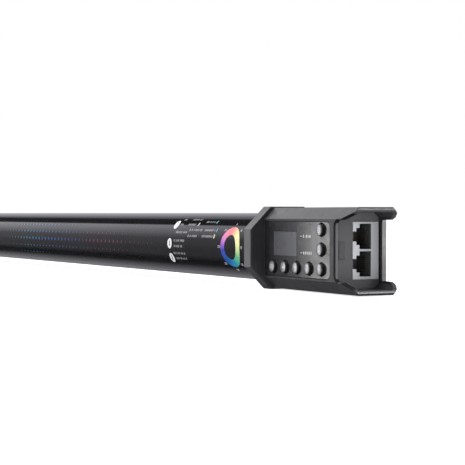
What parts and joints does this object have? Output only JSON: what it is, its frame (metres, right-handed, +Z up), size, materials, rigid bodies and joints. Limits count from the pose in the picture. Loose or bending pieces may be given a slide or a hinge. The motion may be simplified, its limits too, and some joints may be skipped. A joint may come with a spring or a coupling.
{
  "type": "led light tube",
  "caption": "Round LED light tube between two octagonal collars, with a control head of display, round keys and two data sockets, and a plain end cap.",
  "frame": {"origin": "on the tube's axis, midway along the overall length", "axes": "+X along the tube towards the control head; the control panel faces -Y and the lit side +Y; +Z up"},
  "size_m": [0.736, 0.048, 0.0452],
  "materials": {
    "black_extrusion": "black extruded polycarbonate",
    "printed_film": "gloss black film with coloured print",
    "milky_diffuser": "opal polycarbonate",
    "white_board": "white solder mask on aluminium",
    "lamp_chip": "phosphor under silicone",
    "cell_steel": "shrink-wrapped steel can",
    "nickel": "nickel strip",
    "clear_sleeve": "shrink sleeve",
    "black_plastic": "moulded",
    "green_board": "solder mask on fibreglass",
    "component_black": "moulded package",
    "socket_black": "moulded",
    "light_plastic": "light grey moulding",
    "lead_insulation": "silicone insulation",
    "collar_plastic": "satin moulding",
    "seal_rubber": "soft",
    "shell_plastic": "fine satin texture",
    "brass_insert": "turned",
    "screw_steel": "black zinc",
    "panel_black": "satin overlay",
    "display_window": "tinted window",
    "display_glass": "clear",
    "tin_can": "tinned",
    "contact_gold": "gold plate",
    "port_plate_plastic": "satin moulding",
    "key_pearl": "pearl silver"
  },
  "bodies": {
    "housing": {"battery_board": "green_board", "battery_cells": "cell_steel", "battery_cradles": "black_plastic", "battery_leads": "lead_insulation", "battery_sleeve": "clear_sleeve", "board_components": "component_black", "board_link": "component_black", "board_screws": "screw_steel", "cap_collar": "collar_plastic", "cap_hole_plugs": "seal_rubber", "cap_screws": "screw_steel", "cell_links": "nickel", "cover_screws": "screw_steel", "data_sockets": "socket_black", "diffuser": "milky_diffuser", "display_frame": "black_plastic", "display_glass": "display_glass", "display_lens": "display_window", "driver_board": "green_board", "driver_components": "component_black", "driver_sockets": "light_plastic", "end_cap": "shell_plastic", "face_plate": "panel_black", "graphics_film": "printed_film", "head_collar": "collar_plastic", "head_leads": "lead_insulation", "head_screws": "screw_steel", "head_shell": "shell_plastic", "led_board": "white_board", "led_chips": "lamp_chip", "main_board": "green_board", "port_plate": "port_plate_plastic", "radio_module": "tin_can", "rear_cover": "shell_plastic", "service_socket": "tin_can", "socket_bezel": "light_plastic", "socket_board": "green_board", "socket_contacts": "contact_gold", "switch_bodies": "component_black", "thread_insert": "brass_insert", "tube_seals": "seal_rubber", "tube_spine": "black_extrusion"},
    "menu_key": {"key_menu": "key_pearl", "stem_menu": "black_plastic"},
    "left_key": {"key_left": "key_pearl", "stem_left": "black_plastic"},
    "down_key": {"key_down": "key_pearl", "stem_down": "black_plastic"},
    "up_key": {"key_up": "key_pearl", "stem_up": "black_plastic"},
    "right_key": {"key_right": "key_pearl", "stem_right": "black_plastic"},
    "lock_key": {"key_lock": "key_pearl", "stem_lock": "black_plastic"},
    "power_key": {"key_power": "key_pearl", "stem_power": "black_plastic"},
    "port_cover": {"service_plug": "seal_rubber"}
  },
  "joints": [
    {"name": "menu_press", "type": "slide", "parent": "housing", "child": "menu_key", "axis": [0, 1, 0], "range_m": [0, 0.0005]},
    {"name": "left_press", "type": "slide", "parent": "housing", "child": "left_key", "axis": [0, 1, 0], "range_m": [0, 0.0005]},
    {"name": "down_press", "type": "slide", "parent": "housing", "child": "down_key", "axis": [0, 1, 0], "range_m": [0, 0.0005]},
    {"name": "up_press", "type": "slide", "parent": "housing", "child": "up_key", "axis": [0, 1, 0], "range_m": [0, 0.0005]},
    {"name": "right_press", "type": "slide", "parent": "housing", "child": "right_key", "axis": [0, 1, 0], "range_m": [0, 0.0005]},
    {"name": "lock_press", "type": "slide", "parent": "housing", "child": "lock_key", "axis": [0, 1, 0], "range_m": [0, 0.0005]},
    {"name": "power_press", "type": "slide", "parent": "housing", "child": "power_key", "axis": [0, 1, 0], "range_m": [0, 0.0005]},
    {"name": "port_cover_pull", "type": "slide", "parent": "housing", "child": "port_cover", "axis": [1, 0, 0], "range_m": [0, 0.008]}
  ]
}
